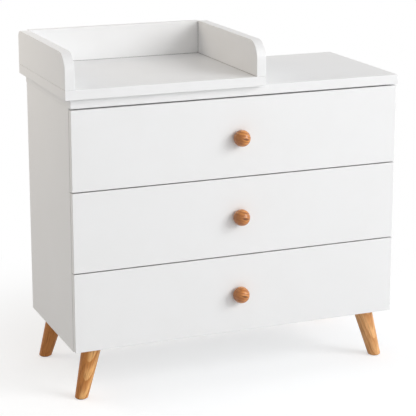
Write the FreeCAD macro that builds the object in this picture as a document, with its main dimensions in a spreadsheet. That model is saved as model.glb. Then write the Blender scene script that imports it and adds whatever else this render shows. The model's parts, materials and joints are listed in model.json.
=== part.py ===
import FreeCAD, Part
import math
import os
import re
import Sketcher
from FreeCAD import Placement, Rotation, Vector

# Changing dresser: a cabinet with three drawers on splayed turned legs, and a three-sided
# changing tray screwed to the left part of its top. Millimetres. The fronts face -Y, +X is to
# the right, the floor is z = 0 and the origin is below the middle of the whole piece.

doc = FreeCAD.newDocument("ChangingDresser")
sheet = doc.addObject("Spreadsheet::Sheet", "Sizes")

DIMENSIONS = [
    ("cabinet_width", 1000, "over the side panels"),
    ("cabinet_depth", 440, "from the drawer fronts' faces to the back edges"),
    ("leg_height", 150, "from the floor to the underside of the cabinet"),
    ("side_thickness", 18, "side panels"),
    ("bottom_thickness", 18, "bottom panel"),
    ("top_thickness", 28, "top panel"),
    ("top_side_overhang", 2, "top panel past each side"),
    ("top_front_overhang", 5, "top panel past the drawer fronts"),
    ("back_thickness", 3, "thin back panel"),
    ("back_inset", 8, "back panel in from the back edges"),
    ("back_groove", 8, "depth of the grooves that hold the back panel"),
    ("run_out", 1, "every groove runs this far past the ends of its board"),
    ("edge_radius", 1.2, "rounding of the visible board edges"),
    ("front_height", 230, "each drawer front"),
    ("front_thickness", 18, "drawer fronts"),
    ("front_gap", 3, "between fronts"),
    ("top_gap", 5, "between the upper front and the top panel"),
    ("front_reveal", 3, "lowest front above the underside of the cabinet"),
    ("front_clearance", 4, "between the fronts and the side panels"),
    ("tray_width", 590, "changing tray, outside"),
    ("tray_side_overhang", 22, "tray past the left side panel"),
    ("tray_front_overhang", 25, "tray past the drawer fronts"),
    ("tray_board", 28, "thickness of the tray's base and sides"),
    ("tray_back_board", 18, "thickness of the tray's back"),
    ("tray_height", 100, "tray sides above the tray base"),
    ("tray_front_radius", 52, "rounded front corner of each tray side"),
    ("tray_back_radius", 22, "rounded back corner of each tray side"),
    ("knob_radius", 24, "ball of the knob"),
    ("knob_rim", 4, "straight rim behind the ball"),
    ("knob_shoulder", 8, "rounding at the back of the knob"),
    ("knob_neck_length", 4, "neck between the front and the knob"),
    ("knob_neck_radius", 13, "neck"),
    ("knob_screw_radius", 2, "screw that holds the knob"),
    ("knob_screw_bite", 16, "screw inside the knob"),
    ("knob_screw_head", 4.5, "head radius"),
    ("knob_screw_cap", 2.4, "head height"),
    ("leg_top_radius", 28, "leg at the mounting plate"),
    ("leg_foot_radius", 19, "leg at the foot"),
    ("leg_splay", 15.5, "degrees from upright"),
    ("leg_turn", 20, "degrees of the lean from sideways towards the front or back"),
    ("leg_side_inset", 65, "middle of the leg's top in from the cabinet's side"),
    ("leg_front_inset", 56, "middle of the leg's top in from the fronts' faces"),
    ("leg_back_inset", 42, "middle of the leg's top in from the back"),
    ("leg_foot_rounding", 2.5, "rounding round the foot"),
    ("plate_size", 70, "mounting plate, square"),
    ("plate_thickness", 2.5, "mounting plate"),
    ("plate_corner", 8, "rounded plate corners"),
    ("plate_hole_spacing", 52, "between the plate's screws"),
    ("hanger_radius", 4, "hanger bolt"),
    ("hanger_in_leg", 40, "hanger bolt inside the leg"),
    ("hanger_above", 9, "hanger bolt above the leg"),
    ("glide_radius", 14, "floor glide"),
    ("glide_thickness", 2, "floor glide"),
    ("drawer_depth", 400, "drawer sides"),
    ("drawer_height", 150, "drawer sides"),
    ("drawer_board", 12, "drawer sides and back"),
    ("drawer_lift", 28, "drawer sides above the lower edge of the front"),
    ("drawer_bottom", 3, "thin drawer bottom"),
    ("drawer_bottom_lift", 10, "drawer bottom above the lower edge of the sides"),
    ("drawer_groove", 4, "depth of the grooves that hold the drawer bottom"),
    ("runner_space", 12.5, "between a drawer side and a side panel"),
    ("runner_steel", 1.2, "sheet thickness of the runners"),
    ("runner_height", 26.4, "cabinet member"),
    ("runner_flange", 10.5, "flanges of the cabinet member"),
    ("runner_setback", 2.5, "both ends of a runner member from the ends of its drawer side"),
    ("runner_shelf", 12, "flange of the drawer member under the drawer side"),
    ("lip_reach", 10.3, "lip of the drawer member, towards the side panel"),
    ("lip_drop", 2, "lip below the cabinet member's upper flange"),
    ("running_gap", 0.3, "between a roller and the steel that runs over it"),
    ("cabinet_roller_radius", 9, "roller at the front of the cabinet member"),
    ("drawer_roller_radius", 10, "roller at the back of the drawer member"),
    ("roller_inset", 14, "roller's axle in from the end of its member"),
    ("roller_width", 7, "both rollers"),
    ("roller_bevel", 0.8, "bevel round the rollers"),
    ("axle_radius", 2, "axle of each roller"),
    ("axle_clearance", 0.1, "roller's bore round its axle"),
    ("axle_head_radius", 3.2, "riveted head of the axle"),
    ("axle_head", 0.6, "thickness of the riveted head"),
    ("cam_radius", 7.5, "cam disc of the cabinet"),
    ("cam_depth", 13, "cam disc"),
    ("cam_setback", 34, "middle of the cam from the joint"),
    ("cam_bolt_radius", 3.5, "cam bolt"),
    ("cam_bolt_bite", 11, "cam bolt beyond the joint"),
    ("cam_inset", 60, "cams of the top joint from the panel's front and back edges"),
    ("low_cam_inset", 130, "cams of the bottom joint from the panel's edges, clear of the legs"),
    ("dowel_radius", 4, "wooden dowels"),
    ("dowel_bite", 12, "dowel in the panel that it enters endways"),
    ("dowel_length", 30, "wooden dowels"),
    ("dowel_spacing", 32, "dowel beside its cam"),
    ("drawer_cam_radius", 6, "small cam disc of a drawer side"),
    ("drawer_cam_depth", 9, "small cam disc"),
    ("drawer_cam_setback", 24, "middle of the small cam from the front"),
    ("plate_screw_length", 15, "screws of the leg plates and the cabinet runners"),
    ("plate_screw_radius", 2, "those screws"),
    ("plate_screw_head", 4, "head radius of those screws"),
    ("plate_screw_cone", 2, "depth of their heads"),
    ("box_screw_length", 30, "screws of the drawer boxes"),
    ("box_screw_radius", 1.8, "those screws"),
    ("box_screw_head", 3.6, "head radius of those screws"),
    ("box_screw_cone", 1.8, "depth of their heads"),
    ("box_screw_inset", 40, "screws of the drawer boxes from the ends of what they hold"),
    ("board_screw_length", 60, "screws up through the tray base into its boards"),
    ("board_screw_radius", 3, "those screws"),
    ("board_screw_head", 5, "head radius of those screws"),
    ("board_screw_cone", 2.5, "depth of their heads"),
    ("board_screw_inset", 70, "tray screws from the ends of the boards"),
    ("fixing_bite", 16, "screws through the top panel inside the tray base"),
    ("fixing_inset", 110, "those screws from the tray's edges"),
]

for row, (alias, number, note) in enumerate(DIMENSIONS, start=1):
    sheet.set(f"A{row}", alias)
    sheet.set(f"B{row}", str(number))
    sheet.setAlias(f"B{row}", alias)
    sheet.set(f"C{row}", note)
doc.recompute()

DRAWERS = ["lower", "middle", "upper"]

# Lengths and places that follow from the sheet. Each may use the ones above it.
DERIVED = {
    "knob_reach": "knob_neck_length + knob_shoulder + knob_rim + knob_radius",
    "middle": "(tray_side_overhang - top_side_overhang) / 2",
    "front_face": "(knob_reach - cabinet_depth) / 2",
    "front_back": "front_face + front_thickness",
    "back_face": "front_face + cabinet_depth",
    "carcass_front": "front_back + front_clearance",
    "carcass_depth": "cabinet_depth - front_thickness - front_clearance",
    "left_face": "middle - cabinet_width / 2",
    "right_face": "middle + cabinet_width / 2",
    "left_inner": "left_face + side_thickness",
    "right_inner": "right_face - side_thickness",
    "inner_width": "cabinet_width - 2 * side_thickness",
    "back_place": "back_face - back_inset - back_thickness",
    "front_pitch": "front_height + front_gap",
    "side_height": f"front_reveal + {len(DRAWERS)} * front_pitch - front_gap + top_gap",
    "top_level": "leg_height + side_height",
    "tray_level": "top_level + top_thickness",
    "board_level": "tray_level + tray_board",
    "tray_left": "left_face - tray_side_overhang",
    "tray_right": "tray_left + tray_width",
    "tray_front": "front_face - tray_front_overhang",
    "tray_depth": "cabinet_depth + tray_front_overhang",
    "leg_span": "leg_height - plate_thickness - glide_thickness",
    "leg_spare": "leg_top_radius / 2",
    "leg_widening": "(leg_top_radius - leg_foot_radius) / leg_span * leg_spare",
    "runner_length": "drawer_depth - 2 * runner_setback",
    "lip_level": "runner_height - 2 * runner_steel - lip_drop",
    "box_width": "inner_width - 2 * runner_space",
    "box_inner": "box_width - 2 * drawer_board",
    "box_left": "left_inner + runner_space",
    "box_right": "right_inner - runner_space",
    "box_back": "front_back + drawer_depth",
    "member_front": "carcass_front + runner_setback",
    "drawer_member_front": "front_back + runner_setback",
    "cabinet_axle_place": "member_front + roller_inset",
    "drawer_axle_place": "drawer_member_front + runner_length - roller_inset",
    "cabinet_axle_level": "lip_level - running_gap - cabinet_roller_radius",
    "drawer_axle_level": "runner_steel + running_gap + drawer_roller_radius",
}

SIZE_NAMES = {alias for alias, number, note in DIMENSIONS}


def expression(text):
    """Write a formula of named sizes as an expression that reads the sheet."""
    def spell(match):
        word = match.group(0)
        if word in SIZE_NAMES:
            return f"Sizes.{word}"
        return f"({expression(DERIVED[word])})"
    return re.sub(r"[a-z][a-z_]+", spell, text)


def value(text):
    """The number that a formula of named sizes gives."""
    return float(sheet.evalExpression(expression(text)))


def vector(x, y, z):
    return Vector(value(x), value(y), value(z))


# ---------------------------------------------------------------- sketching and padding

NORMAL_SIGN = {"XY": 1, "YZ": 1, "XZ": -1}


def new_body(label, x="0", y="0", z="0"):
    """A body whose origin stands at a place given by formulas."""
    body = doc.addObject("PartDesign::Body", label.title().replace("_", ""))
    body.Label = label
    for axis, formula in zip("xyz", (x, y, z)):
        body.setExpression(f"Placement.Base.{axis}", expression(formula))
    return body


def new_sketch(body, plane, offset=None):
    """An empty sketch on one of the body's own planes, or at an offset from it."""
    sketch = body.newObject("Sketcher::SketchObject", "Sketch")
    features = body.Origin.OriginFeatures
    sketch.AttachmentSupport = [([f for f in features if f.Role == f"{plane}_Plane"][0], "")]
    sketch.MapMode = "FlatFace"
    if offset:
        sign = NORMAL_SIGN[plane]
        sketch.setExpression("AttachmentOffset.Base.z", expression(f"{sign} * ({offset})"))
    return sketch


def pin(sketch, geometry, end, x, y):
    """Hold a point of the sketch at the place that two formulas give."""
    for kind, formula in (("DistanceX", x), ("DistanceY", y)):
        number = sketch.addConstraint(
            Sketcher.Constraint(kind, -1, 1, geometry, end, value(formula)))
        sketch.setExpression(f"Constraints[{number}]", expression(formula))


def arc_between(start, end, radius, centre_left):
    """An arc from start to end, with its centre on the left or right of the way there."""
    chord = end - start
    half = chord.Length / 2
    height = math.sqrt(max(radius * radius - half * half, 0))
    across = Vector(-chord.y, chord.x, 0).normalize() * (height if centre_left else -height)
    centre = (start + end) * 0.5 + across
    first, last = (start, end) if centre_left else (end, start)
    angles = [math.atan2(p.y - centre.y, p.x - centre.x) for p in (first, last)]
    return Part.ArcOfCircle(Part.Circle(centre, Vector(0, 0, 1), radius), *angles)


def draw_outline(sketch, corners, arcs=None):
    """A closed outline through corners given by formulas.

    arcs gives, for the stretch that leaves a corner, its radius and whether its centre is on
    the left of the way round; the other stretches are straight.
    """
    arcs = arcs or {}
    points = [Vector(value(x), value(y), 0) for x, y in corners]
    starts = []
    for index, point in enumerate(points):
        following = points[(index + 1) % len(points)]
        if index in arcs:
            radius, centre_left = arcs[index]
            sketch.addGeometry(arc_between(point, following, value(radius), centre_left), False)
            number = sketch.addConstraint(Sketcher.Constraint("Radius", index, value(radius)))
            sketch.setExpression(f"Constraints[{number}]", expression(radius))
            starts.append(1 if centre_left else 2)
        else:
            sketch.addGeometry(Part.LineSegment(point, following), False)
            starts.append(1)
    for index, (x, y) in enumerate(corners):
        before = index - 1 if index else len(corners) - 1
        sketch.addConstraint(Sketcher.Constraint(
            "Coincident", before, 3 - starts[before], index, starts[index]))
        pin(sketch, index, starts[index], x, y)


def draw_rectangle(sketch, left, low, wide, tall):
    right = f"({left}) + ({wide})"
    high = f"({low}) + ({tall})"
    draw_outline(sketch, [(left, low), (right, low), (right, high), (left, high)])


def draw_circle(sketch, x, y, radius):
    circle = Part.Circle(Vector(value(x), value(y), 0), Vector(0, 0, 1), value(radius))
    sketch.addGeometry(circle, False)
    number = sketch.addConstraint(Sketcher.Constraint("Radius", 0, value(radius)))
    sketch.setExpression(f"Constraints[{number}]", expression(radius))
    pin(sketch, 0, 3, x, y)


def extrude(body, sketch, length, forwards=True, kind="PartDesign::Pad"):
    """Pad or pocket a sketch along its plane's normal, or against it."""
    feature = body.newObject(kind, kind.split("::")[1])
    feature.Profile = sketch
    feature.setExpression("Length", expression(length))
    feature.Reversed = forwards == (kind == "PartDesign::Pocket")
    sketch.Visibility = False
    return feature


def round_edges(body, radius, wanted=None):
    """Round the edges whose middle and direction satisfy `wanted`, or every edge."""
    doc.recompute()
    base = body.Tip
    fillet = body.newObject("PartDesign::Fillet", "Fillet")
    names = [f"Edge{number}" for number, edge in enumerate(base.Shape.Edges, start=1)
             if wanted is None or wanted(edge.CenterOfMass, edge.tangentAt(edge.FirstParameter))]
    fillet.Base = (base, names)
    fillet.setExpression("Radius", expression(radius))
    return fillet


def new_board(label, plane, place, across, tall, thickness):
    """A flat panel that stands from `place`, sketched on `plane` and padded by its thickness."""
    body = new_body(label, *place)
    sketch = new_sketch(body, plane)
    draw_rectangle(sketch, "0", "0", across, tall)
    extrude(body, sketch, thickness, forwards=NORMAL_SIGN[plane] > 0)
    return body


def cut_groove(body, plane, rectangle, depth, far_face=None):
    """A rectangular groove into the panel's face at its origin, or into its far face."""
    doc.recompute()
    before = body.Shape.Volume
    sketch = new_sketch(body, plane, far_face)
    draw_rectangle(sketch, *rectangle)
    into = NORMAL_SIGN[plane] > 0
    extrude(body, sketch, depth, forwards=into != bool(far_face), kind="PartDesign::Pocket")
    doc.recompute()
    assert body.Shape.Volume < before, f"the groove of {body.Label} cuts nothing"


def add_stud(body, place, level, radius, start, length, side):
    """A round stud along X from a plane at `start`, towards +X (side 1) or -X (side -1)."""
    sketch = new_sketch(body, "YZ", f"{side} * ({start})")
    draw_circle(sketch, place, level, radius)
    extrude(body, sketch, length, forwards=side > 0)


# ---------------------------------------------------------------- assembling the nodes

NODES = {}


def as_node(piece, label):
    """Name a finished piece; its label is the name of its node and of its file."""
    if piece.Label != label:
        piece.Label = label
    assert piece.Label == label, f"the label {label} is taken"
    NODES[label] = piece
    return piece


def new_group(label, shapes):
    """A node of alike solids, already in place."""
    group = doc.addObject("Part::Feature", label.title().replace("_", ""))
    group.Shape = Part.makeCompound(shapes)
    group.Placement = Placement()
    return as_node(group, label)


def drill(piece, label, fasteners):
    """The piece with the holes of the fasteners that it holds."""
    piece.Label = f"{label}_undrilled"
    tools = fasteners[0]
    if len(fasteners) > 1:
        tools = doc.addObject("Part::Compound", f"{label}_fasteners")
        tools.Links = fasteners
    cut = doc.addObject("Part::Cut", label.title().replace("_", "") + "Drilled")
    cut.Base = piece
    cut.Tool = tools
    return as_node(cut, label)


def at(shape, place, rotation=None):
    """A copy of a shape, turned and then moved to a place."""
    moved = shape.copy()
    moved.Placement = Placement(place, rotation or Rotation())
    return moved


TOWARDS = {
    "up": Rotation(),
    "right": Rotation(Vector(0, 1, 0), 90),
    "left": Rotation(Vector(0, 1, 0), -90),
    "front": Rotation(Vector(1, 0, 0), 90),
    "back": Rotation(Vector(1, 0, 0), -90),
}


def turned(label, corners, arcs=None):
    """A turned piece: an outline of (radius, height) swept round the Z axis."""
    body = new_body(label)
    sketch = new_sketch(body, "XZ")
    draw_outline(sketch, corners, arcs)
    revolution = body.newObject("PartDesign::Revolution", "Revolution")
    revolution.Profile = sketch
    revolution.ReferenceAxis = (sketch, ["V_Axis"])
    doc.recompute()
    return body


def countersunk(label, radius, head, cone, length):
    """A countersunk screw that points up, its head's flat at z = 0."""
    return turned(label, [("0", "0"), (head, "0"), (radius, cone), (radius, length),
                          ("0", length)]).Shape


def rod(label, radius, low, high):
    return turned(label, [("0", low), (radius, low), (radius, high), ("0", high)]).Shape


plate_screw = countersunk("plate_screw_pattern", "plate_screw_radius", "plate_screw_head",
                          "plate_screw_cone", "plate_screw_length")
box_screw = countersunk("box_screw_pattern", "box_screw_radius", "box_screw_head",
                        "box_screw_cone", "box_screw_length")
board_screw = countersunk("board_screw_pattern", "board_screw_radius", "board_screw_head",
                          "board_screw_cone", "board_screw_length")
fixing_screw = countersunk("fixing_screw_pattern", "board_screw_radius", "board_screw_head",
                           "board_screw_cone", "top_thickness + fixing_bite")
cam_disc = rod("cam_disc_pattern", "cam_radius", "0", "cam_depth")
cam_bolt = rod("cam_bolt_pattern", "cam_bolt_radius", "0 - cam_bolt_bite", "cam_setback")
dowel = rod("dowel_pattern", "dowel_radius", "0 - dowel_bite", "dowel_length - dowel_bite")
small_cam = rod("small_cam_pattern", "drawer_cam_radius", "0", "drawer_cam_depth")
small_bolt = rod("small_bolt_pattern", "cam_bolt_radius", "0 - cam_bolt_bite",
                 "drawer_cam_setback")

# ---------------------------------------------------------------- the joints of the cabinet

SIDES = [
    # inner face, way out through the side panel, way in, middle of the panel
    ("left_inner", "left", "right", "left_inner - side_thickness / 2"),
    ("right_inner", "right", "left", "right_inner + side_thickness / 2"),
]

discs = []
bolts = []
dowels = []
for inner, outwards, inwards, panel_middle in SIDES:
    for place, beside in (("carcass_front + cam_inset", "dowel_spacing"),
                          ("back_face - cam_inset", "0 - dowel_spacing")):
        discs.append(at(cam_disc, vector(inner, place, "top_level - cam_setback"),
                        TOWARDS[outwards]))
        bolts.append(at(cam_bolt, vector(panel_middle, place, "top_level"),
                        Rotation(Vector(1, 0, 0), 180)))
        dowels.append(at(dowel, vector(panel_middle, f"{place} + {beside}", "top_level"),
                         Rotation(Vector(1, 0, 0), 180)))
    step = "cam_setback" if inwards == "right" else "0 - cam_setback"
    for place, beside in (("carcass_front + low_cam_inset", "dowel_spacing"),
                          ("back_face - low_cam_inset", "0 - dowel_spacing")):
        joint = "leg_height + bottom_thickness / 2"
        discs.append(at(cam_disc, vector(f"{inner} + {step}", place, "leg_height")))
        bolts.append(at(cam_bolt, vector(inner, place, joint), TOWARDS[inwards]))
        dowels.append(at(dowel, vector(inner, f"{place} + {beside}", joint), TOWARDS[inwards]))

# Each cam grips the end of its bolt, so the bolt stops at the cam's rim.
cam_discs = new_group("cam_discs", discs)
cam_bolts = new_group("cam_bolts", [bolt.cut(cam_discs.Shape) for bolt in bolts])
carcass_dowels = new_group("carcass_dowels", dowels)

# ---------------------------------------------------------------- legs

# The turned blank is longer than the leg at both ends, because the leaning leg is cut level.
leg_pattern = turned("leg_pattern", [
    ("0", "leg_spare"),
    ("leg_top_radius + leg_widening", "leg_spare"),
    ("leg_foot_radius - leg_widening", "0 - leg_span - leg_spare"),
    ("0", "0 - leg_span - leg_spare"),
])
hanger = rod("hanger_pattern", "hanger_radius", "0 - hanger_in_leg", "hanger_above")

plate = new_body("plate_pattern")
plate_sketch = new_sketch(plate, "XY")
draw_rectangle(plate_sketch, "0 - plate_size / 2", "0 - plate_size / 2",
               "plate_size", "plate_size")
extrude(plate, plate_sketch, "plate_thickness")
round_edges(plate, "plate_corner", lambda middle, along: abs(along.z) > 0.9)
doc.recompute()

LEGS = [
    ("leg_front_left", "left_face + leg_side_inset", "front_face + leg_front_inset", -1, -1),
    ("leg_front_right", "right_face - leg_side_inset", "front_face + leg_front_inset", 1, -1),
    ("leg_back_left", "left_face + leg_side_inset", "back_face - leg_back_inset", -1, 1),
    ("leg_back_right", "right_face - leg_side_inset", "back_face - leg_back_inset", 1, 1),
]


def lean(out_x, out_y):
    """The turn that leans a leg outwards, mostly sideways and a little forwards or back."""
    turn = math.radians(value("leg_turn"))
    axis = Vector(out_y * math.sin(turn), -out_x * math.cos(turn), 0)
    return Rotation(axis, value("leg_splay"))


def foot_offset(out_x, out_y):
    """From the middle of a leg's top to the middle of its foot."""
    drop = value("leg_span")
    downwards = lean(out_x, out_y).multVec(Vector(0, 0, -1))
    return downwards * (drop / -downwards.z)


hangers = []
plates = []
plate_screws = []
glides = []
for label, x, y, out_x, out_y in LEGS:
    top = vector(x, y, "leg_height - plate_thickness")
    hangers.append(at(hanger, top, lean(out_x, out_y)))
    plates.append(at(plate.Shape, top))
    foot = top + foot_offset(out_x, out_y)
    glides.append(Part.makeCylinder(value("glide_radius"), value("glide_thickness"),
                                    Vector(foot.x, foot.y, 0)))
    for step_x in (-1, 1):
        for step_y in (-1, 1):
            spread = value("plate_hole_spacing / 2")
            plate_screws.append(at(plate_screw, top + Vector(step_x, step_y, 0) * spread))

hanger_bolts = new_group("hanger_bolts", hangers)
leg_plate_screws = new_group("leg_plate_screws", plate_screws)
floor_glides = new_group("floor_glides", glides)
bare_plates = new_group("leg_plates", plates)
drill(bare_plates, "leg_plates", [hanger_bolts, leg_plate_screws])

for label, x, y, out_x, out_y in LEGS:
    top = vector(x, y, "leg_height - plate_thickness")
    blank = doc.addObject("Part::Feature", f"{label}_blank")
    blank.Shape = leg_pattern.Shape
    blank.Placement = Placement(top, lean(out_x, out_y))
    slab = doc.addObject("Part::Box", f"{label}_slab")
    for edge in ("Length", "Width"):
        slab.setExpression(edge, expression("4 * leg_height"))
    slab.setExpression("Height", expression("leg_span"))
    slab.setExpression("Placement.Base.x", expression(f"{x} - 2 * leg_height"))
    slab.setExpression("Placement.Base.y", expression(f"{y} - 2 * leg_height"))
    slab.setExpression("Placement.Base.z", expression("glide_thickness"))
    trimmed = doc.addObject("Part::Common", f"{label}_trimmed")
    trimmed.Base = blank
    trimmed.Tool = slab
    doc.recompute()
    floor = value("glide_thickness")
    foot_edges = [number for number, edge in enumerate(trimmed.Shape.Edges, start=1)
                  if max(v.Z for v in edge.Vertexes) < floor + 0.01]
    rounded = doc.addObject("Part::Fillet", f"{label}_rounded")
    rounded.Base = trimmed
    radius = value("leg_foot_rounding")
    rounded.Edges = [(number, radius, radius) for number in foot_edges]
    drill(rounded, label, [hanger_bolts])

# ---------------------------------------------------------------- runners, fixed members

RUNNER_SIDES = [("left_inner", 1), ("right_inner", -1)]


def drawer_level(number):
    """Lower edge of a drawer's front."""
    return f"leg_height + front_reveal + {number} * front_pitch"


def runner_level(number):
    """Lowest face of both members of a drawer's runners."""
    return f"{drawer_level(number)} + drawer_lift - runner_steel"


cabinet_members = []
runner_screws = []
for number, drawer in enumerate(DRAWERS):
    for inner, side in RUNNER_SIDES:
        hand = "left" if side > 0 else "right"
        member = new_body(f"cabinet_member_{drawer}_{hand}", inner, "member_front",
                          runner_level(number))
        sketch = new_sketch(member, "XZ")
        flange = f"{side} * runner_flange"
        web = f"{side} * runner_steel"
        under_top = "runner_height - runner_steel"
        draw_outline(sketch, [
            ("0", "0"), (flange, "0"), (flange, "runner_steel"), (web, "runner_steel"),
            (web, under_top), (flange, under_top), (flange, "runner_height"),
            ("0", "runner_height"),
        ])
        extrude(member, sketch, "runner_length", forwards=False)
        add_stud(member, "roller_inset", "cabinet_axle_level", "axle_radius", "0",
                 "runner_flange", side)
        add_stud(member, "roller_inset", "cabinet_axle_level", "axle_head_radius",
                 "runner_flange - axle_head", "axle_head", side)
        cabinet_members.append(member)
        into_side = TOWARDS["left" if side > 0 else "right"]
        for share in (1, 3, 5):
            place = f"member_front + runner_length * {share} / 6"
            level = f"{runner_level(number)} + runner_height / 2"
            runner_screws.append(at(plate_screw, vector(f"{inner} + {web}", place, level),
                                    into_side))

cabinet_runner_screws = new_group("cabinet_runner_screws", runner_screws)
bare_members = doc.addObject("Part::Compound", "CabinetRunners")
bare_members.Links = cabinet_members
drill(bare_members, "cabinet_runners", [cabinet_runner_screws])

# ---------------------------------------------------------------- tray screws

tray_fixings = []
for x in ("tray_left + fixing_inset", "tray_right - fixing_inset"):
    for y in ("front_face + fixing_inset", "back_face - fixing_inset"):
        tray_fixings.append(at(fixing_screw, vector(x, y, "top_level")))
tray_fixing_screws = new_group("tray_fixing_screws", tray_fixings)

board_screws = []
for x in ("tray_left + tray_board / 2", "tray_right - tray_board / 2"):
    for y in ("tray_front + board_screw_inset", "back_face - board_screw_inset"):
        board_screws.append(at(board_screw, vector(x, y, "tray_level")))
for x in ("tray_left + tray_board + board_screw_inset", "tray_left + tray_width / 2",
          "tray_right - tray_board - board_screw_inset"):
    board_screws.append(at(board_screw, vector(x, "back_face - tray_back_board / 2",
                                               "tray_level")))
tray_board_screws = new_group("tray_board_screws", board_screws)

# ---------------------------------------------------------------- cabinet panels

side_size = ("carcass_depth", "side_height", "side_thickness")
back_slot = ("carcass_depth - back_inset - back_thickness", "0 - run_out",
             "back_thickness", "side_height + 2 * run_out")

left_panel = new_board("side_panel_left", "YZ", ("left_face", "carcass_front", "leg_height"),
                       *side_size)
cut_groove(left_panel, "YZ", back_slot, "back_groove", far_face="side_thickness")
drill(left_panel, "side_panel_left",
      [cam_discs, cam_bolts, carcass_dowels, cabinet_runner_screws])

right_panel = new_board("side_panel_right", "YZ",
                        ("right_inner", "carcass_front", "leg_height"), *side_size)
cut_groove(right_panel, "YZ", back_slot, "back_groove")
drill(right_panel, "side_panel_right",
      [cam_discs, cam_bolts, carcass_dowels, cabinet_runner_screws])

bottom_panel = new_board("bottom_panel", "XY", ("left_inner", "carcass_front", "leg_height"),
                         "inner_width", "carcass_depth - back_inset - back_thickness",
                         "bottom_thickness")
drill(bottom_panel, "bottom_panel",
      [cam_discs, cam_bolts, carcass_dowels, leg_plate_screws, hanger_bolts])

back_panel = new_board("back_panel", "XZ", ("left_inner - back_groove", "back_place",
                                            "leg_height"),
                       "inner_width + 2 * back_groove", "side_height", "back_thickness")
as_node(back_panel, "back_panel")

top_panel = new_board("top_panel", "XY", ("left_face - top_side_overhang",
                                          "front_face - top_front_overhang", "top_level"),
                      "cabinet_width + 2 * top_side_overhang",
                      "cabinet_depth + top_front_overhang", "top_thickness")
round_edges(top_panel, "edge_radius")
drill(top_panel, "top_panel", [cam_bolts, carcass_dowels, tray_fixing_screws])

# ---------------------------------------------------------------- changing tray

tray_base = new_board("tray_base", "XY", ("tray_left", "tray_front", "tray_level"),
                      "tray_width", "tray_depth", "tray_board")
round_edges(tray_base, "edge_radius")
drill(tray_base, "tray_base", [tray_fixing_screws, tray_board_screws])

for label, x in (("tray_side_left", "tray_left"),
                 ("tray_side_right", "tray_right - tray_board")):
    side_board = new_board(label, "YZ", (x, "tray_front", "board_level"),
                           "tray_depth", "tray_height", "tray_board")
    depth = value("tray_depth")
    height = value("tray_height")
    round_edges(side_board, "tray_front_radius",
                lambda middle, along: middle.y < 0.01 and middle.z > height - 0.01)
    round_edges(side_board, "tray_back_radius",
                lambda middle, along: middle.y > depth - 0.01 and middle.z > height - 0.01)
    round_edges(side_board, "edge_radius",
                lambda middle, along: not (middle.z < 0.01 and abs(along.x) > 0.9))
    drill(side_board, label, [tray_board_screws])

tray_back = new_board("tray_back", "XZ", ("tray_left + tray_board",
                                          "back_face - tray_back_board", "board_level"),
                      "tray_width - 2 * tray_board", "tray_height", "tray_back_board")
round_edges(tray_back, "edge_radius", lambda middle, along: abs(along.x) > 0.9)
drill(tray_back, "tray_back", [tray_board_screws])

# ---------------------------------------------------------------- knob and rollers

knob_pattern = turned("knob_pattern", [
    ("0", "0"),
    ("knob_neck_radius", "0"),
    ("knob_neck_radius", "knob_neck_length"),
    ("knob_radius - knob_shoulder", "knob_neck_length"),
    ("knob_radius", "knob_neck_length + knob_shoulder"),
    ("knob_radius", "knob_neck_length + knob_shoulder + knob_rim"),
    ("0", "knob_reach"),
], {3: ("knob_shoulder", True), 5: ("knob_radius", True)})

knob_screw_pattern = turned("knob_screw_pattern", [
    ("0", "0 - front_thickness - knob_screw_cap"),
    ("knob_screw_head", "0 - front_thickness - knob_screw_cap"),
    ("knob_screw_head", "0 - front_thickness"),
    ("knob_screw_radius", "0 - front_thickness"),
    ("knob_screw_radius", "knob_screw_bite"),
    ("0", "knob_screw_bite"),
])


def new_roller(label, radius):
    """A roller round the Z axis, bored for its axle and bevelled at its rims."""
    bore = "axle_radius + axle_clearance"
    low = "0 - roller_width / 2"
    high = "roller_width / 2"
    return turned(label, [
        (bore, low), (f"{radius} - roller_bevel", low), (radius, f"{low} + roller_bevel"),
        (radius, f"{high} - roller_bevel"), (f"{radius} - roller_bevel", high), (bore, high),
    ]).Shape


roller_shapes = {
    "cabinet": new_roller("cabinet_roller_pattern", "cabinet_roller_radius"),
    "drawer": new_roller("drawer_roller_pattern", "drawer_roller_radius"),
}


def new_roller_pair(label, kind, place, level):
    """The two rollers of a pair of runners, on one line across the cabinet."""
    pair = []
    for inner, side in RUNNER_SIDES:
        gap = "runner_flange - axle_head - running_gap - roller_width / 2"
        pair.append(at(roller_shapes[kind], vector(f"{inner} + {side} * ({gap})", place, level),
                       TOWARDS["right"]))
    return new_group(label, pair)


# ---------------------------------------------------------------- drawers


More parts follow.
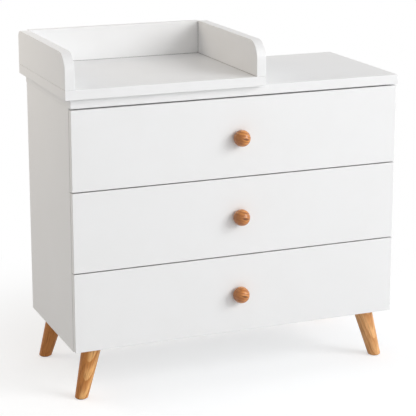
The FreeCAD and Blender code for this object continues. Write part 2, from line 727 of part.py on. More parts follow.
def new_drawer(number, name):
    """One drawer: front, knob, box and the runner members that move with it."""
    low = drawer_level(number)
    base = runner_level(number)
    box_low = f"{low} + drawer_lift"
    bottom_low = f"{box_low} + drawer_bottom_lift"
    front_middle = f"{low} + front_height / 2"
    prefix = f"drawer_{name}"

    knob_place = vector("middle", "front_face", front_middle)
    knob_screw = new_group(f"{prefix}_knob_screw",
                           [at(knob_screw_pattern.Shape, knob_place, TOWARDS["front"])])
    knob = doc.addObject("Part::Feature", f"{prefix}_turned_knob")
    knob.Shape = knob_pattern.Shape
    knob.Placement = Placement(knob_place, TOWARDS["front"])
    drill(knob, f"{prefix}_knob", [knob_screw])

    fittings = []
    for edge, way, outwards in (("box_left + drawer_board", 1, "left"),
                                ("box_right - drawer_board", -1, "right")):
        level = f"{box_low} + drawer_height / 2"
        board_middle = f"{edge} - {way} * drawer_board / 2"
        cam = at(small_cam, vector(edge, "front_back + drawer_cam_setback", level),
                 TOWARDS[outwards])
        bolt = at(small_bolt, vector(board_middle, "front_back", level), TOWARDS["back"])
        fittings += [cam, bolt.cut(cam)]
    cam_fittings = new_group(f"{prefix}_cam_fittings", fittings)

    screws = []
    for outer, way, inwards in (("box_left", 1, "right"), ("box_right", -1, "left")):
        for level in ("box_screw_inset", "drawer_height - box_screw_inset"):
            screws.append(at(box_screw, vector(outer, "box_back - drawer_board / 2",
                                               f"{box_low} + {level}"), TOWARDS[inwards]))
        for place in ("front_back + box_screw_inset", "front_back + drawer_depth / 2",
                      "box_back - box_screw_inset"):
            screws.append(at(box_screw, vector(f"{outer} + {way} * drawer_board / 2", place,
                                               base)))
    box_screws = new_group(f"{prefix}_box_screws", screws)

    front = new_board(f"{prefix}_front", "XZ", ("left_face", "front_face", low),
                      "cabinet_width", "front_height", "front_thickness")
    cut_groove(front, "XZ", ("side_thickness + runner_space + drawer_board - drawer_groove",
                             "drawer_lift + drawer_bottom_lift",
                             "box_inner + 2 * drawer_groove", "drawer_bottom"),
               "drawer_groove", far_face="front_thickness")
    round_edges(front, "edge_radius", lambda middle, along: middle.y < 0.01)
    drill(front, f"{prefix}_front", [knob_screw, cam_fittings])

    side_groove = ("0 - run_out", "drawer_bottom_lift",
                   "drawer_depth + 2 * run_out", "drawer_bottom")
    for hand, x, far in (("left", "box_left", "drawer_board"),
                         ("right", "box_right - drawer_board", None)):
        side_board = new_board(f"{prefix}_side_{hand}", "YZ", (x, "front_back", box_low),
                               "drawer_depth", "drawer_height", "drawer_board")
        cut_groove(side_board, "YZ", side_groove, "drawer_groove", far_face=far)
        drill(side_board, f"{prefix}_side_{hand}", [cam_fittings, box_screws])

    back_low = "drawer_bottom_lift + drawer_bottom"
    back = new_board(f"{prefix}_back", "XZ",
                     ("box_left + drawer_board", "box_back - drawer_board",
                      f"{box_low} + {back_low}"),
                     "box_inner", f"drawer_height - ({back_low})", "drawer_board")
    drill(back, f"{prefix}_back", [box_screws])

    bottom = new_board(f"{prefix}_bottom", "XY",
                       ("box_left + drawer_board - drawer_groove",
                        "front_back - drawer_groove", bottom_low),
                       "box_inner + 2 * drawer_groove", "drawer_depth + drawer_groove",
                       "drawer_bottom")
    as_node(bottom, f"{prefix}_bottom")

    members = []
    for inner, side in RUNNER_SIDES:
        hand = "left" if side > 0 else "right"
        member = new_body(f"{prefix}_member_{hand}", f"{inner} + {side} * runner_space",
                          "drawer_member_front", base)
        sketch = new_sketch(member, "XZ")
        outer = f"{-side} * runner_steel"
        lip = f"{-side} * lip_reach"
        shelf = f"{side} * runner_shelf"
        lip_top = "lip_level + runner_steel"
        draw_outline(sketch, [
            (shelf, "0"), (outer, "0"), (outer, "lip_level"), (lip, "lip_level"),
            (lip, lip_top), ("0", lip_top), ("0", "runner_steel"), (shelf, "runner_steel"),
        ])
        extrude(member, sketch, "runner_length", forwards=False)
        axle_out = "runner_space - runner_flange + roller_width + axle_head + 2 * running_gap"
        add_stud(member, "runner_length - roller_inset", "drawer_axle_level", "axle_radius",
                 "0", f"{axle_out} + axle_head", -side)
        add_stud(member, "runner_length - roller_inset", "drawer_axle_level",
                 "axle_head_radius", axle_out, "axle_head", -side)
        members.append(member)
    pair = doc.addObject("Part::Compound", f"{prefix}_bare_members")
    pair.Links = members
    drill(pair, f"{prefix}_runners", [box_screws])

    new_roller_pair(f"cabinet_rollers_{name}", "cabinet", "cabinet_axle_place",
                    f"{base} + cabinet_axle_level")
    new_roller_pair(f"drawer_rollers_{name}", "drawer", "drawer_axle_place",
                    f"{base} + drawer_axle_level")


for number, name in enumerate(DRAWERS):
    new_drawer(number, name)

# ---------------------------------------------------------------- checks and files

doc.recompute()
for item in doc.Objects:
    assert not {"Invalid", "Error"} & set(item.State), f"{item.Label} failed"
for label, piece in NODES.items():
    shape = piece.Shape
    assert not shape.isNull() and shape.isValid() and shape.Solids, f"{label} has no valid shape"

os.makedirs("parts", exist_ok=True)
for label, piece in NODES.items():
    piece.Shape.exportStep(f"parts/{label}.step")
print(len(NODES), "nodes")
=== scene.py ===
import json
import math
import bmesh
import bpy
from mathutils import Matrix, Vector

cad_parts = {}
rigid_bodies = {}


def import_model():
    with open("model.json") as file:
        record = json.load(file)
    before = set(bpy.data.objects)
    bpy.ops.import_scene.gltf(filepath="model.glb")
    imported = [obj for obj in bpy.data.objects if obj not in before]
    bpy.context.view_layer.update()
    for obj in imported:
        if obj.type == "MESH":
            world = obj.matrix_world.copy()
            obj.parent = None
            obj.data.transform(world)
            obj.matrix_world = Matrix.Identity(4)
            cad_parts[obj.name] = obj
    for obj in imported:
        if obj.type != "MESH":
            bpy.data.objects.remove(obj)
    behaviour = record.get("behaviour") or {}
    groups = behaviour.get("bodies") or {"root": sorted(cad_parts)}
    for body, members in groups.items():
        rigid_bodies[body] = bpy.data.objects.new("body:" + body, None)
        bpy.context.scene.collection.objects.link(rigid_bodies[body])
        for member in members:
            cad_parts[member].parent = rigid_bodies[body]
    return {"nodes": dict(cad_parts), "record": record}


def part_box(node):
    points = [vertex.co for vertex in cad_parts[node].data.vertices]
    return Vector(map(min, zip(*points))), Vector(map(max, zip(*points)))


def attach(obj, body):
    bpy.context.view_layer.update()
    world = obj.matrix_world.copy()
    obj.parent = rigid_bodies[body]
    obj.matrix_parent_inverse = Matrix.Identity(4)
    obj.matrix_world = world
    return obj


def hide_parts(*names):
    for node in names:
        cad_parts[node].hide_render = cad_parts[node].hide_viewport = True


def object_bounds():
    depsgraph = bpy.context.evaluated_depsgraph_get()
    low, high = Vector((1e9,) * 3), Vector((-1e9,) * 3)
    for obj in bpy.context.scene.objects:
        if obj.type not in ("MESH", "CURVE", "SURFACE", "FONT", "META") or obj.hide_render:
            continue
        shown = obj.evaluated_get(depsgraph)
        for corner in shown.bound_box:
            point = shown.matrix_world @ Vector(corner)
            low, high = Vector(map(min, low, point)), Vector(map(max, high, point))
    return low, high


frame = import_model()
cad_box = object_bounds()
MIDDLE_OF_WHOLE = (Vector(cad_box[0]) + Vector(cad_box[1])) / 2

MM = 0.001
DRAWERS = ["lower", "middle", "upper"]

# ---------------------------------------------------------------- finishes


def opaque(colour):
    return (*colour, 1.0) if isinstance(colour, tuple) and len(colour) == 3 else colour


class Nodes:
    """A tree of shader nodes."""

    def __init__(self, tree):
        self.tree = tree

    def add(self, kind, inputs=None, output=0, **settings):
        """Add a node, fill or link its inputs, and give one of its outputs."""
        node = self.tree.nodes.new("ShaderNode" + kind)
        for name, choice in settings.items():
            setattr(node, name, choice)
        for socket, source in (inputs or {}).items():
            self.feed(node.inputs[socket], source)
        return node.outputs[output]

    def feed(self, socket, source):
        if isinstance(source, bpy.types.NodeSocket):
            self.tree.links.new(source, socket)
        else:
            socket.default_value = source

    def maths(self, operation, first, second=0.0, third=0.0):
        return self.add("Math", {0: first, 1: second, 2: third}, operation=operation)

    def noise(self, place, per_metre, detail=2.0, roughness=0.5, distortion=0.0):
        return self.add("TexNoise", {"Vector": place, "Scale": per_metre, "Detail": detail,
                                     "Roughness": roughness, "Distortion": distortion})

    def between(self, value, low, high, start=0.0, end=1.0, curve="SMOOTHSTEP"):
        """Map low..high to start..end along the curve, and clamp what lies outside."""
        return self.add("MapRange", {"Value": value, "From Min": low, "From Max": high,
                                     "To Min": start, "To Max": end}, interpolation_type=curve)

    def blend(self, factor, first, second):
        """Blend two colours."""
        node = self.tree.nodes.new("ShaderNodeMix")
        node.data_type = "RGBA"
        self.feed(node.inputs[0], factor)
        for socket, source in ((node.inputs[6], first), (node.inputs[7], second)):
            self.feed(socket, opaque(source))
        return node.outputs[2]

    def bump(self, height, distance):
        return self.add("Bump", {"Height": height, "Distance": distance})

    def split(self, vector):
        """The x, y and z of a vector."""
        node = self.tree.nodes.new("ShaderNodeSeparateXYZ")
        self.feed(node.inputs[0], vector)
        return node.outputs

    def level_distance(self, x, y):
        """How far x and y lie from nought."""
        return self.maths("SQRT", self.maths("MULTIPLY_ADD", x, x, self.maths("MULTIPLY", y, y)))

    def background_rays(self):
        """Rays that see the plain background: from the camera, in a reflection or through glass."""
        rays = self.tree.nodes.new("ShaderNodeLightPath").outputs
        seen = rays["Is Camera Ray"]
        for kind in ("Is Glossy Ray", "Is Transmission Ray"):
            seen = self.maths("MAXIMUM", seen, rays[kind])
        return seen


class Finish(Nodes):
    """A material built from nodes on one Principled shader."""

    def __init__(self, name, roughness=0.5, metallic=0.0, specular=0.5):
        self.material = bpy.data.materials.new(name)
        self.material.use_nodes = True
        super().__init__(self.material.node_tree)
        self.shader = self.tree.nodes["Principled BSDF"]
        self.shader.inputs["Roughness"].default_value = roughness
        self.shader.inputs["Metallic"].default_value = metallic
        self.shader.inputs["Specular IOR Level"].default_value = specular

    def set(self, **sources):
        """Feed the shader: colour, roughness or normal."""
        names = {"colour": "Base Color", "roughness": "Roughness", "normal": "Normal"}
        for name, source in sources.items():
            self.feed(self.shader.inputs[names[name]], source)
        return self.material

    def place(self, centre=(0, 0, 0), turn=(0, 0, 0)):
        """Object coordinates, in metres from `centre`, turned."""
        coordinates = self.add("TexCoord", output=3)
        moved = self.add("VectorMath", {0: coordinates, 1: tuple(centre)}, operation="SUBTRACT")
        return self.add("Mapping", {"Vector": moved, "Rotation": turn})


def white_laminate(name):
    """Melamine-faced board: nearly even white, with the fine pebble of its press plate.

    Corners, creases and the seams where two boards meet get painted shade: thin grey lines wherever an
    occlusion mask finds other surfaces close by.
    """
    finish = Finish(name, specular=0.5)
    place = finish.place()
    cloud = finish.noise(place, 9.0, detail=3.0)
    pebble = finish.noise(place, 1400.0, detail=2.0)
    colour = finish.blend(finish.between(cloud, 0.35, 0.7), (0.86, 0.86, 0.86), (0.852, 0.852, 0.85))
    # painted shade: within 4 mm of a corner, crease or joint the white turns towards grey
    open_side = finish.add("AmbientOcclusion", {"Distance": 4 * MM}, output=1, samples=6)
    painted_crease_shade = finish.between(open_side, 0.45, 0.82, 0.6, 0.0)
    colour = finish.blend(painted_crease_shade, colour, (0.2, 0.19, 0.18))
    return finish.set(colour=colour, roughness=finish.between(pebble, 0.3, 0.7, 0.34, 0.42),
                      normal=finish.bump(pebble, 0.02 * MM))


def hardboard(name):
    """Thin board: painted white on its front and top, raw pressed fibre behind and below."""
    finish = Finish(name, roughness=0.6, specular=0.3)
    place = finish.place()
    fibre = finish.noise(place, 700.0, detail=6.0, roughness=0.7)
    cloud = finish.noise(place, 12.0, detail=3.0)
    raw = finish.blend(finish.between(fibre, 0.3, 0.75), (0.32, 0.19, 0.1), (0.47, 0.32, 0.19))
    raw = finish.blend(finish.between(cloud, 0.3, 0.75, 0.0, 0.35), raw, (0.36, 0.22, 0.12))
    white = finish.blend(finish.between(fibre, 0.3, 0.7), (0.8, 0.8, 0.79), (0.77, 0.77, 0.76))
    normal = finish.split(finish.add("NewGeometry", output=1))
    seen = finish.maths("SUBTRACT", normal[2], normal[1])
    colour = finish.blend(finish.between(seen, 0.2, 0.6), raw, white)
    return finish.set(colour=colour, normal=finish.bump(fibre, 0.05 * MM))


# early wood, late wood, pores and dark streaks
OAK = ((0.85, 0.47, 0.175), (0.57, 0.228, 0.06), (0.29, 0.09, 0.018))
PALE_OAK = ((0.87, 0.49, 0.215), (0.69, 0.32, 0.115), (0.42, 0.165, 0.05))
KNOB_OAK = ((0.76, 0.31, 0.066), (0.45, 0.145, 0.026), (0.23, 0.066, 0.011))
BEECH = ((0.6, 0.38, 0.2), (0.52, 0.31, 0.15), (0.4, 0.22, 0.1))

# darker heartwood tone, also used as painted shade on the side of a leg turned from the lamp
HEARTWOOD_AND_SHADE = (0.6, 0.236, 0.06)
NO_HEARTWOOD_OR_SHADE = (-9, -8)               # metres, far outside any piece
ACROSS_THE_VIEW = (0.93, -0.37, 0)    # to the right, as the photograph sees it
RING_WIDTH = 7.5 * MM
KNOT_SLOPE = -0.27                    # radians, of the knots and lines on the knobs


def wood_tones(finish, rings, along, tones, seed, heart_and_shade=0.0):
    """Colour, relief and gloss of oiled wood from its ring pattern and its lengthways place.

    The heartwood share darkens the wood: partly real heartwood, partly painted shade on the side of a
    leg turned from the lamp.
    """
    early, late, dark = tones
    moved = finish.add("Mapping", {"Vector": along, "Location": (seed, 0, 0)})
    streak = finish.noise(moved, 260.0, detail=3.0, roughness=0.55)
    pores = finish.between(finish.noise(moved, 1500.0, detail=1.0), 0.6, 0.72)
    broad = finish.noise(moved, 45.0, detail=1.0)
    late_wood = finish.maths("MULTIPLY", finish.between(rings, 0.3, 0.9),
                             finish.between(rings, 0.94, 1.0, 1.0, 0.0))
    colour = finish.blend(late_wood, early, late)
    # heartwood tone, partly real and partly painted shade
    colour = finish.blend(heart_and_shade, colour, HEARTWOOD_AND_SHADE)
    colour = finish.blend(finish.between(broad, 0.4, 0.7, 0.0, 0.5), colour, late)
    colour = finish.blend(finish.between(streak, 0.45, 0.7, 0.0, 0.6), colour, dark)
    colour = finish.blend(finish.maths("MULTIPLY", pores, 0.35), colour, dark)
    height = finish.maths("MULTIPLY_ADD", pores, -1.0, streak)
    return finish.set(colour=colour, roughness=finish.between(streak, 0.3, 0.7, 0.38, 0.5),
                      normal=finish.bump(height, 0.03 * MM))


def wander(finish, place, per_metre, reach):
    """The place, moved about by slow noise."""
    drift = finish.add("VectorMath", {
        0: finish.add("TexNoise", {"Vector": place, "Scale": per_metre, "Detail": 1.0}, output=1),
        1: (0.5, 0.5, 0.5)}, operation="SUBTRACT")
    drift = finish.add("VectorMath", {0: drift, "Scale": 2 * reach}, operation="SCALE")
    return finish.add("VectorMath", {0: place, 1: drift}, operation="ADD")


def trunk_wood(name, centre, turn, pith, tilt, ring_width, tones, seed, heart_and_shade=NO_HEARTWOOD_OR_SHADE):
    """Wood turned from a trunk whose middle passes beside the piece.

    The growth rings are cylinders round the trunk's axis, so a turned surface cuts them in
    long stripes and pointed arches. The pair of heartwood places says where the darker band at
    the left, across the view, turns to sapwood, in metres from the piece's own axis. That band
    is partly heartwood and partly painted shade on the side turned from the lamp.
    """
    finish = Finish(name, specular=0.3)
    place = wander(finish, finish.place(centre, turn), 16.0, 3 * MM)
    tilted = finish.add("Mapping", {"Vector": place, "Location": pith, "Rotation": tilt})
    x, y, _ = finish.split(tilted)
    from_pith = finish.level_distance(x, y)
    rings = finish.maths("FRACT", finish.maths("DIVIDE", from_pith, ring_width))
    along = finish.add("Mapping", {"Vector": place, "Scale": (1.0, 1.0, 0.06)})
    # the darker band is set across the view, so its painted shade falls on the leg's left, away from
    # the lamp
    across = finish.add("VectorMath", {0: place, 1: ACROSS_THE_VIEW}, output=1,
                        operation="DOT_PRODUCT")
    return wood_tones(finish, rings, along, tones, seed, finish.between(across, *heart_and_shade, 1.0, 0.0))


def knotted_wood(name, centre, radius, tones, seed):
    """Wood whose lines run across the knob's face and part round a long dark knot, with painted shade
    on its lower left.
    """
    finish = Finish(name, specular=0.3)
    finish.shader.inputs["Coat Weight"].default_value = 0.6
    finish.shader.inputs["Coat Roughness"].default_value = 0.13
    slope = KNOT_SLOPE + 0.03 * math.sin(90 * seed)
    place = wander(finish, finish.place(centre, (0, slope, 0)), 35.0, 1.5 * MM)
    x, _, z = finish.split(place)
    along_knot = finish.maths("DIVIDE", finish.maths("SUBTRACT", x, 0.12 * radius), 0.4 * radius)
    swell = finish.maths("EXPONENT", finish.maths(
        "MULTIPLY", finish.maths("MULTIPLY", along_knot, along_knot), -1.0))
    half_height = finish.maths("MULTIPLY", swell, 0.17 * radius)
    off_axis = finish.maths("ABSOLUTE", finish.maths("SUBTRACT", z, 0.07 * radius))
    knot = finish.between(finish.maths("SUBTRACT", off_axis, half_height),
                          -0.07 * radius, 0.01 * radius, 1.0, 0.0)
    knot = finish.maths("MULTIPLY", knot, finish.between(along_knot, -1.2, 1.6, 1.0, 0.55))
    push = finish.maths("EXPONENT", finish.maths("DIVIDE", off_axis, -0.45 * radius))
    parted = finish.maths("SUBTRACT", off_axis, finish.maths("MULTIPLY", half_height, push))
    rings = finish.maths("FRACT", finish.maths("DIVIDE", parted, 0.36 * radius))
    along = finish.add("Mapping", {"Vector": place, "Scale": (0.12, 1.0, 1.0)})
    wood_tones(finish, rings, along, tones, seed)
    plain = finish.shader.inputs["Base Color"].links[0].from_socket
    # painted shade: the knob's lower left, turned from the lamp, darkens towards the late wood
    from_painted_shade = finish.add("VectorMath", {0: place, 1: (-0.75 * radius, -0.3 * radius, -0.3 * radius)},
                           output=1, operation="DISTANCE")
    late, dark = tones[1:]
    plain = finish.blend(finish.between(from_painted_shade, 0.5 * radius, 1.1 * radius, 0.7, 0.0),
                         plain, tuple(0.8 * part for part in late))
    return finish.set(colour=finish.blend(knot, plain, tuple(0.75 * part for part in dark)))


def zinc_plate(name, base):
    finish = Finish(name, metallic=1.0)
    place = finish.place()
    bloom = finish.noise(place, 260.0, detail=4.0, roughness=0.6)
    colour = finish.blend(bloom, base, tuple(0.8 * part for part in base))
    return finish.set(colour=colour, roughness=finish.between(bloom, 0.3, 0.7, 0.28, 0.42),
                      normal=finish.bump(bloom, 0.01 * MM))


def powder_coat(name):
    finish = Finish(name, specular=0.4)
    peel = finish.noise(finish.place(), 900.0, detail=2.0)
    colour = finish.blend(peel, (0.8, 0.8, 0.78), (0.76, 0.76, 0.74))
    return finish.set(colour=colour, roughness=finish.between(peel, 0.3, 0.7, 0.32, 0.42),
                      normal=finish.bump(peel, 0.04 * MM))


def moulded_plastic(name, base):
    finish = Finish(name, specular=0.4)
    grain = finish.noise(finish.place(), 1200.0, detail=2.0)
    colour = finish.blend(grain, base, tuple(0.9 * part for part in base))
    return finish.set(colour=colour, roughness=finish.between(grain, 0.3, 0.7, 0.4, 0.55),
                      normal=finish.bump(grain, 0.02 * MM))


def finish_node(node, material):
    """Give a CAD node a finish."""
    slots = frame["nodes"][node].data.materials
    slots.clear()
    slots.append(material)


FINISHES = {
    "white_board": white_laminate("white_laminate"),
    "thin_board": hardboard("hardboard"),
    "steel": zinc_plate("zinc_plated_steel", (0.62, 0.61, 0.58)),
    "zinc": zinc_plate("cast_zinc", (0.5, 0.5, 0.49)),
    "runner_steel": powder_coat("powder_coated_steel"),
    "roller_plastic": moulded_plastic("nylon_roller", (0.74, 0.73, 0.7)),
    "glide_plastic": moulded_plastic("glide_plastic", (0.055, 0.05, 0.045)),
}

LEG_LEAN = math.radians(15.5)         # the wood's lean out to the side
LEG_LEAN_BACK = math.radians(5.4)     # and out to the front or back

# Where each leg's trunk axis passes, in metres from the leg's own, how it tilts, in radians,
# between which two places across the leg its heartwood ends, and its tones. The heartwood band
# is partly real heartwood and partly painted shade on the side turned from the lamp; on the
# back left leg it spans nearly the whole leg as painted shade.
TRUNKS = {
    "leg_front_left": ((-0.004, -0.0337, 0), (0.055, 0.012, 0), (-0.012, -0.003), OAK),
    "leg_front_right": ((0.006, -0.04, 0), (0.04, -0.03, 0), (-0.06, -0.04), PALE_OAK),
    "leg_back_left": ((0.028, -0.02, 0), (0.05, 0.03, 0), (0.02, 0.05), OAK),
    "leg_back_right": ((-0.02, 0.03, 0), (0.06, -0.03, 0), (-0.02, 0.01), OAK),
}


def middle_of(node):
    low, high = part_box(node)
    return (low + high) / 2


def leg_wood(node):
    middle = middle_of(node)
    lean = (math.copysign(LEG_LEAN_BACK, -middle.y), math.copysign(LEG_LEAN, middle.x), 0)
    pith, tilt, heart_and_shade, tones = TRUNKS[node]
    return trunk_wood(f"oak_{node}", middle, lean, pith, tilt, RING_WIDTH, tones,
                      middle.x + middle.y, heart_and_shade)


def knob_wood(node):
    low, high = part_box(node)
    middle = middle_of(node)
    return knotted_wood(f"oak_{node}", middle, (high.x - low.x) / 2, KNOB_OAK, middle.z)


def dowel_wood(node):
    return trunk_wood(f"beech_{node}", (0, 0, 0), (0, 0, 0), (0.2, 0.1, 0), (0, 0, 0), 3 * MM,
                      BEECH, 0.5)


WOODS = {"leg_wood": leg_wood, "knob_wood": knob_wood, "dowel_wood": dowel_wood}

for part in frame["record"]["subparts"]:
    node, slot = part["node"], part["material_slot"]
    finish_node(node, FINISHES[slot] if slot in FINISHES else WOODS[slot](node))

# ---------------------------------------------------------------- screws and cams

ROUND = 24             # sides of a turned head
RECESS_TURN = math.pi  # the furthest that chance turns a recess

# Shares of a head's radius
SOFT_RIM = 0.08
MOUTH = (0.6, 0.13)   # reach and half width of the cross at the top of the recess
FOOT = (0.36, 0.1)    # and at its bottom
RECESS_DEPTH = 0.5

DIGITS = 5             # decimals of a metre to which places and radii are rounded
HEAD_WIDER = 0.1 * MM  # ends whose radii differ by less count as equally wide
CAM_RADIUS = 4 * MM    # a cam disc has at least this radius, and its bolt less
SHARP = math.radians(35)  # edges that turn by more than this stay sharp


def loose_parts(node):
    """The separate shells of a CAD node, from a merged copy of its mesh."""
    shell = bmesh.new()
    shell.from_mesh(frame["nodes"][node].data)
    bmesh.ops.remove_doubles(shell, verts=shell.verts, dist=1e-6)
    left = set(shell.verts)
    parts = []
    while left:
        part = {left.pop()}
        to_visit = list(part)
        while to_visit:
            for edge in to_visit.pop().link_edges:
                for vertex in edge.verts:
                    if vertex in left:
                        left.remove(vertex)
                        part.add(vertex)
                        to_visit.append(vertex)
        faces = {face for vertex in part for face in vertex.link_faces}
        parts.append(([vertex.co.copy() for vertex in part],
                      [[vertex.co.copy() for vertex in face.verts] for face in faces]))
    shell.free()
    return parts


def measure(points, middle):
    """The head's place, the way it faces, and the outline in (depth, radius) steps.

    The axis is the one whose two other sizes are alike. The head is the wider end. Where both
    ends are as wide, it is the lower one on an upright axis, and else the one that is nearer
    to `middle`.
    """
    low = Vector([min(point[k] for point in points) for k in range(3)])
    high = Vector([max(point[k] for point in points) for k in range(3)])
    size = high - low
    axis = min(range(3), key=lambda k: abs(size[k - 1] - size[k - 2]))
    centre = (low + high) / 2
    steps = {}
    for point in points:
        across = [point[k] - centre[k] for k in range(3) if k != axis]
        radius = round(math.hypot(*across), DIGITS)
        steps.setdefault(round(point[axis], DIGITS), set()).add(radius)
    heights = sorted(steps)
    first, last = max(steps[heights[0]]), max(steps[heights[-1]])
    if abs(first - last) > HEAD_WIDER:
        head_is_low = first > last
    elif axis == 2:
        head_is_low = True
    else:
        head_is_low = centre[axis] > middle[axis]
    if not head_is_low:
        heights.reverse()
    outline = [(round(abs(height - heights[0]), DIGITS), radius) for height in heights
               for radius in sorted(steps[height], reverse=True)]
    way = Vector([(-1.0 if head_is_low else 1.0) if k == axis else 0.0 for k in range(3)])
    head = centre.copy()
    head[axis] = heights[0]
    return head, way, tuple(outline)


def ring(shell, radius, height):
    return [shell.verts.new((radius * math.cos(turn), radius * math.sin(turn), height))
            for turn in (2 * math.pi * k / ROUND for k in range(ROUND))]


def skin(shell, upper, lower):
    count = len(upper)
    for k in range(count):
        shell.faces.new((upper[k], lower[k], lower[(k + 1) % count], upper[(k + 1) % count]))


def cross(shell, reach, half_width, height):
    """The twelve corners of a cross, counter-clockwise."""
    arm = [(reach, -half_width), (reach, half_width), (half_width, half_width)]
    corners = []
    for turn in range(4):
        for x, y in arm:
            for _ in range(turn):
                x, y = -y, x
            corners.append(shell.verts.new((x, y, height)))
    return corners


def recessed(outline):
    """A fastener with its head up at z = 0: softened rim, cross recess and plain shank."""
    head = outline[0][1]
    soft = SOFT_RIM * head
    rings = [(head - soft, 0.0), (head - 0.3 * soft, -0.3 * soft), (head, -soft)]
    rings += [(radius, -depth) for depth, radius in outline[1:]]
    shell = bmesh.new()
    made = [ring(shell, radius, height) for radius, height in rings]
    for upper, lower in zip(made, made[1:]):
        skin(shell, upper, lower)
    shell.faces.new(list(reversed(made[-1])))
    mouth = cross(shell, *(share * head for share in MOUTH), 0.0)
    floor_of_recess = cross(shell, *(share * head for share in FOOT), -RECESS_DEPTH * head)
    skin(shell, list(reversed(mouth)), list(reversed(floor_of_recess)))
    shell.faces.new(floor_of_recess)
    rim_edges = [shell.edges.get((corners[k - 1], corners[k])) or
                 shell.edges.new((corners[k - 1], corners[k]))
                 for corners in (made[0], mouth) for k in range(len(corners))]
    bmesh.ops.triangle_fill(shell, edges=rim_edges, use_beauty=True)
    bmesh.ops.recalc_face_normals(shell, faces=shell.faces)
    mesh = bpy.data.meshes.new("pattern")
    shell.to_mesh(mesh)
    shell.free()
    return bpy.data.objects.new("pattern", mesh)


def fastener_nodes():
    """A node tree that sets a pattern on each point, turned as the point says."""
    tree = bpy.data.node_groups.new("fasteners", "GeometryNodeTree")
    for name, kind in (("Points", "Geometry"), ("Pattern", "Object"), ("Size", "Float"),
                       ("Recess Turn", "Float"), ("Seed", "Int"), ("Finish", "Material")):
        tree.interface.new_socket(name, in_out="INPUT", socket_type="NodeSocket" + kind)
    tree.interface.new_socket("Fasteners", in_out="OUTPUT", socket_type="NodeSocketGeometry")

    def add(kind, **settings):
        node = tree.nodes.new(kind)
        for name, choice in settings.items():
            setattr(node, name, choice)
        return node

    link = tree.links.new
    given = add("NodeGroupInput").outputs
    facing = add("GeometryNodeInputNamedAttribute", data_type="FLOAT_VECTOR")
    facing.inputs["Name"].default_value = "facing"
    facing_turn = add("FunctionNodeEulerToRotation")
    link(facing.outputs[0], facing_turn.inputs[0])
    chance = add("FunctionNodeRandomValue", data_type="FLOAT")
    link(given["Recess Turn"], chance.inputs[3])
    link(given["Seed"], chance.inputs["Seed"])
    spin = add("FunctionNodeAxisAngleToRotation")
    link(chance.outputs[1], spin.inputs["Angle"])
    turned = add("FunctionNodeRotateRotation", rotation_space="LOCAL")
    link(facing_turn.outputs[0], turned.inputs[0])
    link(spin.outputs[0], turned.inputs[1])
    pattern = add("GeometryNodeObjectInfo")
    link(given["Pattern"], pattern.inputs[0])
    instances = add("GeometryNodeInstanceOnPoints")
    link(given["Points"], instances.inputs["Points"])
    link(pattern.outputs["Geometry"], instances.inputs["Instance"])
    link(turned.outputs[0], instances.inputs["Rotation"])
    link(given["Size"], instances.inputs["Scale"])
    real = add("GeometryNodeRealizeInstances")
    link(instances.outputs[0], real.inputs[0])
    finished = add("GeometryNodeSetMaterial")
    link(real.outputs[0], finished.inputs["Geometry"])
    link(given["Finish"], finished.inputs["Material"])
    link(finished.outputs[0], add("NodeGroupOutput").inputs[0])
    return tree


FASTENERS = fastener_nodes()


def set_out(places, pattern, finish, seed):
    """Put the pattern at each (place, facing) and give the plain mesh."""
    points = bpy.data.meshes.new("points")
    points.from_pydata([place for place, _ in places], [], [])
    facings = points.attributes.new("facing", "FLOAT_VECTOR", "POINT")
    for k, (_, facing) in enumerate(places):
        facings.data[k].vector = facing.to_track_quat("Z", "Y").to_euler()
    holder = bpy.data.objects.new("points", points)
    collection = bpy.context.scene.collection.objects
    collection.link(holder)
    collection.link(pattern)
    modifier = holder.modifiers.new("fasteners", "NODES")
    modifier.node_group = FASTENERS
    given = {"Pattern": pattern, "Size": 1.0, "Recess Turn": RECESS_TURN, "Seed": seed,
             "Finish": finish}
    for socket in FASTENERS.interface.items_tree:
        if socket.name in given:
            modifier[socket.identifier] = given[socket.name]
    evaluated = holder.evaluated_get(bpy.context.evaluated_depsgraph_get())
    mesh = bpy.data.meshes.new_from_object(evaluated)
    holder.modifiers.remove(modifier)
    bpy.data.objects.remove(holder)
    bpy.data.objects.remove(pattern)
    return mesh


def make_fasteners(node, body, slot, seed):
    """Stand for a CAD node of screws or cams, with softened rims and cross recesses."""
    kinds = {}
    whole = bmesh.new()
    for points, faces in loose_parts(node):
        head, way, outline = measure(points, MIDDLE_OF_WHOLE)
        if slot == "zinc" and outline[0][1] < CAM_RADIUS:
            # a hidden cam bolt stays as it is
            for face in faces:
                whole.faces.new([whole.verts.new(corner) for corner in face])
        else:
            kinds.setdefault(outline, []).append((head, way))
    bmesh.ops.remove_doubles(whole, verts=whole.verts, dist=1e-6)
    for outline, places in kinds.items():
        whole.from_mesh(set_out(places, recessed(outline), FINISHES[slot], seed))
    mesh = bpy.data.meshes.new(f"{node}_detailed")
    whole.to_mesh(mesh)
    whole.free()
    mesh.materials.clear()
    mesh.materials.append(FINISHES[slot])
    mesh.shade_smooth()
    mesh.set_sharp_from_angle(angle=SHARP)
    piece = bpy.data.objects.new(f"{node}_detailed", mesh)
    bpy.context.scene.collection.objects.link(piece)
    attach(piece, body)
    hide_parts(node)


WITH_RECESSES = ["leg_plate_screws", "cabinet_runner_screws", "cam_discs", "tray_board_screws"]
WITH_RECESSES += [f"drawer_{drawer}_{kind}" for drawer in DRAWERS
                  for kind in ("box_screws", "knob_screw", "cam_fittings")]
BODIES = frame["record"]["behaviour"]["bodies"]
SLOTS = {part["node"]: part["material_slot"] for part in frame["record"]["subparts"]}

for seed, node in enumerate(WITH_RECESSES):
    body = next(name for name, nodes in BODIES.items() if node in nodes)
    make_fasteners(node, body, SLOTS[node], seed)

# ---------------------------------------------------------------- the room

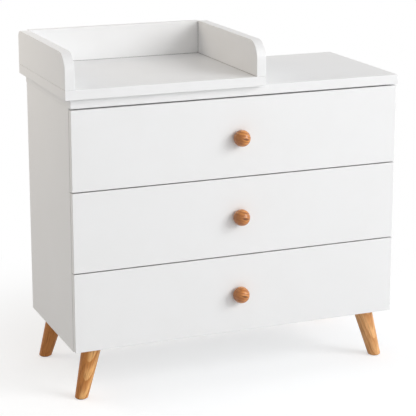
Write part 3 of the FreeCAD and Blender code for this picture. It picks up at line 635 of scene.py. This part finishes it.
FLOOR_SIZE = 14.0
SHADOW = 0.81         # how much of the floor's own shading shows
FLOOR_LIFT = 0.53     # light added to it where it shows as background
FADE_CENTRE = (0.0, -0.1, 0.0)
FADE = (0.55, 1.4)    # metres from that centre between which the floor turns white
WHITE = (1, 1, 1, 1)

# Where the room's light changes, by the x and by the z of the direction it comes from
LEFT_TO_RIGHT = (-0.8, 0.5)
SIDES_TO_OVERHEAD = (0.1, 1.0)


def floor_material():
    """A white floor whose soft shadows show and which fades into the white background."""
    finish = Finish("studio_floor", roughness=0.9, specular=0.0)
    speck = finish.noise(finish.place(), 3.0)
    finish.set(colour=finish.blend(speck, (0.708, 0.72, 0.732), (0.703, 0.715, 0.727)))
    lift = finish.add("Emission", {"Color": WHITE, "Strength": FLOOR_LIFT / (1 - SHADOW)})
    white = finish.add("Emission", {"Color": WHITE, "Strength": 1.0})
    lifted = finish.add("MixShader", {0: SHADOW, 1: lift, 2: finish.shader.outputs[0]})
    x, y, _ = finish.split(finish.place(FADE_CENTRE))
    far = finish.between(finish.level_distance(x, y), *FADE)
    seen = finish.add("MixShader", {0: far, 1: lifted, 2: white})
    shown = finish.add("MixShader", {0: finish.background_rays(),
                                     1: finish.shader.outputs[0], 2: seen})
    finish.feed(finish.tree.nodes["Material Output"].inputs["Surface"], shown)
    return finish.material


mesh = bpy.data.meshes.new("floor")
half = FLOOR_SIZE / 2
mesh.from_pydata([(-half, -half, 0), (half, -half, 0), (half, half, 0), (-half, half, 0)], [],
                 [(0, 1, 2, 3)])
mesh.materials.append(floor_material())
floor = bpy.data.objects.new("floor", mesh)
bpy.context.scene.collection.objects.link(floor)


def studio_world(left, right, overhead):
    """Plain studio light from all round, warm from the left, on a white background."""
    world = bpy.data.worlds.new("studio")
    bpy.context.scene.world = world
    world.use_nodes = True
    world.node_tree.nodes.clear()
    nodes = Nodes(world.node_tree)
    x, _, z = nodes.split(nodes.add("TexCoord", output="Generated"))
    around = nodes.blend(nodes.between(x, *LEFT_TO_RIGHT, curve="LINEAR"), left, right)
    upwards = nodes.between(z, *SIDES_TO_OVERHEAD, curve="LINEAR")
    all_round = nodes.blend(upwards, around, overhead)
    room = nodes.add("Background", {"Color": all_round})
    white = nodes.add("Background", {"Color": WHITE})
    shown = nodes.add("MixShader", {0: nodes.background_rays(), 1: room, 2: white})
    output = world.node_tree.nodes.new("ShaderNodeOutputWorld")
    nodes.feed(output.inputs["Surface"], shown)


studio_world(left=(0.25, 0.213, 0.175), right=(0.766, 0.795, 0.82), overhead=(0.487, 0.48, 0.48))


def lamp(name, place, target, size, power, colour=(1, 1, 1)):
    """A round lamp, its size in metres and its power in watts, that no camera sees."""
    light = bpy.data.lights.new(name, "AREA")
    light.shape = "DISK"
    light.size = size
    light.energy = power
    light.color = colour
    lamp_object = bpy.data.objects.new(name, light)
    lamp_object.location = place
    lamp_object.visible_camera = False
    aim = Vector(target) - Vector(place)
    lamp_object.rotation_euler = aim.to_track_quat("-Z", "Y").to_euler()
    bpy.context.scene.collection.objects.link(lamp_object)


lamp("key", (5.4, -5.0, 3.8), target=(0, 0, 0.6), size=4.5, power=340)
lamp("front", (1.6, -7.0, 2.4), target=(0, 0, 0.6), size=4.5, power=58)
lamp("left", (-1.35, 0.75, 1.55), target=(-0.5, 0, 0.9), size=0.8, power=6.0,
     colour=(1, 0.91, 0.78))

# ---------------------------------------------------------------- camera

PHOTO_SIDE = 416
SENSOR = 36.0
FOCAL_PIXELS = 1529.0
CAMERA_PLACE = (-1.67, -4.099, 1.679)
CAMERA_YAW = math.radians(22.08)
CAMERA_PITCH = math.radians(-13.33)
CAMERA_SHIFT = -0.12  # the frame stands lower than the line of sight, in shares of its width

camera = bpy.data.cameras.new("photo_view")
camera.sensor_width = SENSOR
camera.lens = SENSOR * FOCAL_PIXELS / PHOTO_SIDE
camera.shift_y = CAMERA_SHIFT
viewer = bpy.data.objects.new("photo_view", camera)
viewer.location = CAMERA_PLACE
viewer.rotation_euler = (math.pi / 2 + CAMERA_PITCH, 0, -CAMERA_YAW)
bpy.context.scene.collection.objects.link(viewer)
bpy.context.scene.camera = viewer
bpy.context.scene.view_settings.view_transform = "Standard"
